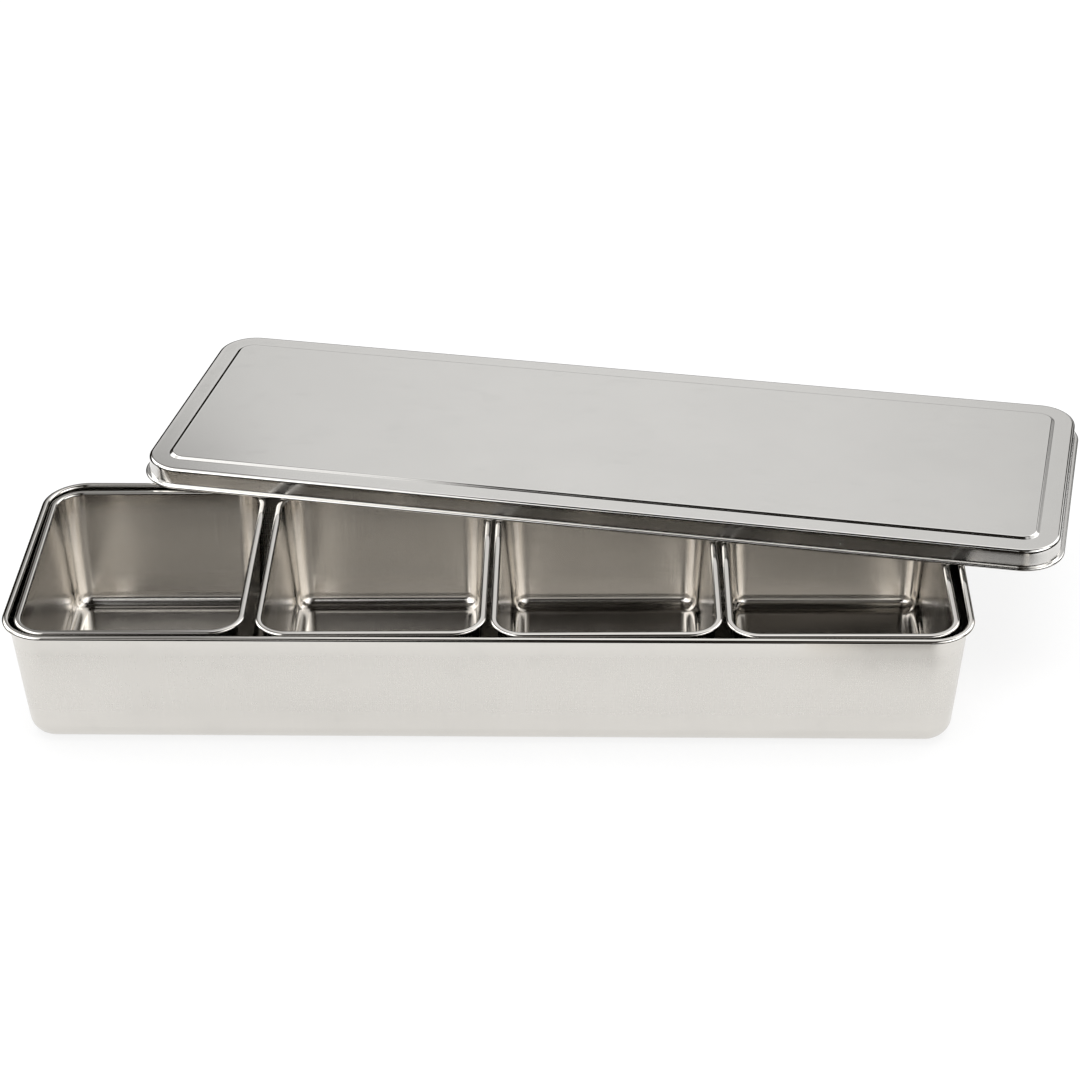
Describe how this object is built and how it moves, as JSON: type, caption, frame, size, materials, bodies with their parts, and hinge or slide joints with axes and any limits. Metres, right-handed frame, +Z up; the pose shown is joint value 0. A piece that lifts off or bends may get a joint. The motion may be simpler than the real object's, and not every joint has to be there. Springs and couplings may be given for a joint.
{
  "type": "condiment container set",
  "caption": "Long shallow serving pan holding a row of loose deep-drawn condiment containers, with a lift-off lid lying askew across the back.",
  "frame": {"origin": "middle of the pan's underside, on the surface it stands on", "axes": "+X along the pan to the right, +Y from front to back, +Z up"},
  "size_m": [0.4963, 0.2786, 0.0709],
  "materials": {
    "pan_steel": "satin",
    "container_steel": "bright satin",
    "lid_steel": "satin"
  },
  "bodies": {
    "pan": {"pan": "pan_steel"},
    "container_1": {"container_1": "container_steel"},
    "container_2": {"container_2": "container_steel"},
    "container_3": {"container_3": "container_steel"},
    "container_4": {"container_4": "container_steel"},
    "lid": {"lid": "lid_steel"}
  },
  "joints": [
    {"name": "lid_lift", "type": "slide", "parent": "pan", "child": "lid", "axis": [0, 0, 1], "range_m": [0, 0.2]},
    {"name": "container_1_lift", "type": "slide", "parent": "pan", "child": "container_1", "axis": [0, 0, 1], "range_m": [0, 0.08]},
    {"name": "container_2_lift", "type": "slide", "parent": "pan", "child": "container_2", "axis": [0, 0, 1], "range_m": [0, 0.08]},
    {"name": "container_3_lift", "type": "slide", "parent": "pan", "child": "container_3", "axis": [0, 0, 1], "range_m": [0, 0.08]},
    {"name": "container_4_lift", "type": "slide", "parent": "pan", "child": "container_4", "axis": [0, 0, 1], "range_m": [0, 0.08]}
  ],
  "couplings": [
    {"joint": "container_1_lift", "follows": "lid_lift", "ratio": 0.4},
    {"joint": "container_2_lift", "follows": "lid_lift", "ratio": 0.4},
    {"joint": "container_3_lift", "follows": "lid_lift", "ratio": 0.4},
    {"joint": "container_4_lift", "follows": "lid_lift", "ratio": 0.4}
  ]
}
